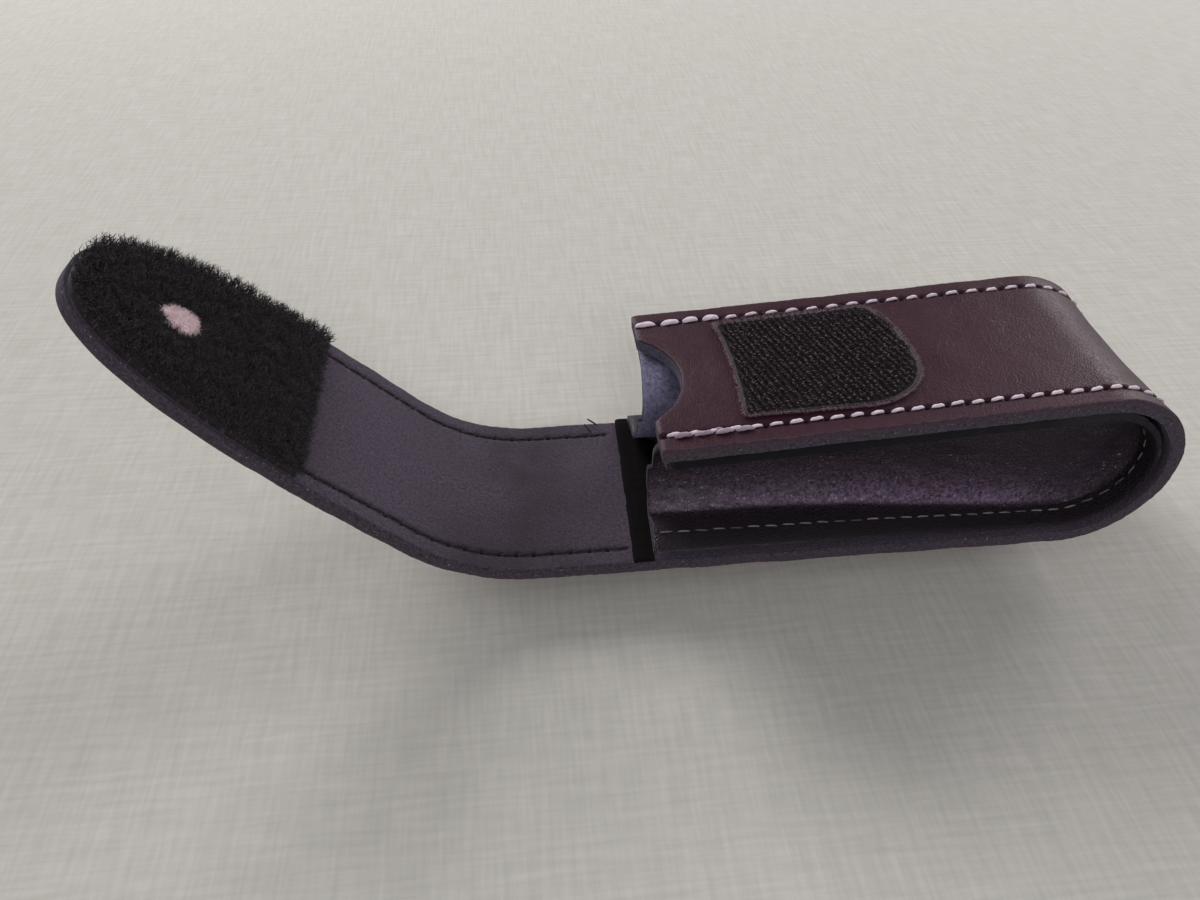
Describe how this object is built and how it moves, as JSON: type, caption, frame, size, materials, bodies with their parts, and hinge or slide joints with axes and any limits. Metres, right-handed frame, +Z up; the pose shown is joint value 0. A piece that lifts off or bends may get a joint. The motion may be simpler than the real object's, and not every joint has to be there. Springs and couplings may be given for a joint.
{
  "type": "knife belt pouch",
  "caption": "Leather belt pouch for a folding knife, open, with side gussets, a curled flap, and a hook and loop fastening.",
  "frame": {"origin": "middle of the belt loop's outer face, on the surface that the pouch lies on", "axes": "+X along the pouch from its mouth to its bottom bend, +Y across it, +Z up through the front panel"},
  "size_m": [0.1969, 0.0424, 0.0689],
  "materials": {
    "strip_leather": "smooth grain outside, suede inside",
    "gusset_leather": "semi-gloss grain",
    "black_lining": "matt",
    "hook_nylon": "matt hook tape",
    "loop_pile_nylon": "napped loop tape",
    "pale_felt": "matt",
    "pale_thread": "satin thread",
    "dark_thread": "satin thread"
  },
  "bodies": {
    "pouch": {"main_strip": "strip_leather", "gusset_near": "gusset_leather", "gusset_far": "gusset_leather", "mouth_band": "black_lining", "hook_patch": "hook_nylon", "belt_loop": "strip_leather", "belt_seam_upper": "pale_thread", "belt_seam_lower": "pale_thread", "body_seam_near": "pale_thread", "body_seam_far": "pale_thread", "flange_seam_near": "pale_thread", "flange_seam_far": "pale_thread", "mouth_tack_near": "pale_thread", "mouth_tack_far": "pale_thread"},
    "crown": {"flap_crown": "strip_leather", "crown_seam_near": "dark_thread", "crown_seam_far": "dark_thread"},
    "tongue": {"flap_tongue": "strip_leather", "tongue_seam_near": "dark_thread", "tongue_seam_far": "dark_thread", "loop_tape": "loop_pile_nylon", "loop_pile": "loop_pile_nylon", "pale_spot": "pale_felt"}
  },
  "joints": [
    {"name": "flap_hinge", "type": "hinge", "parent": "pouch", "child": "crown", "pos_m": [-0.0376, 0, 0.0097], "axis": [0, 1, 0], "range_deg": [0, 90]},
    {"name": "flap_fold", "type": "hinge", "parent": "crown", "child": "tongue", "pos_m": [-0.06869, 0, 0.01214], "axis": [0, 1, 0], "range_deg": [0, 41.2]}
  ],
  "couplings": [
    {"joint": "flap_fold", "follows": "flap_hinge", "ratio": 0.45778}
  ]
}
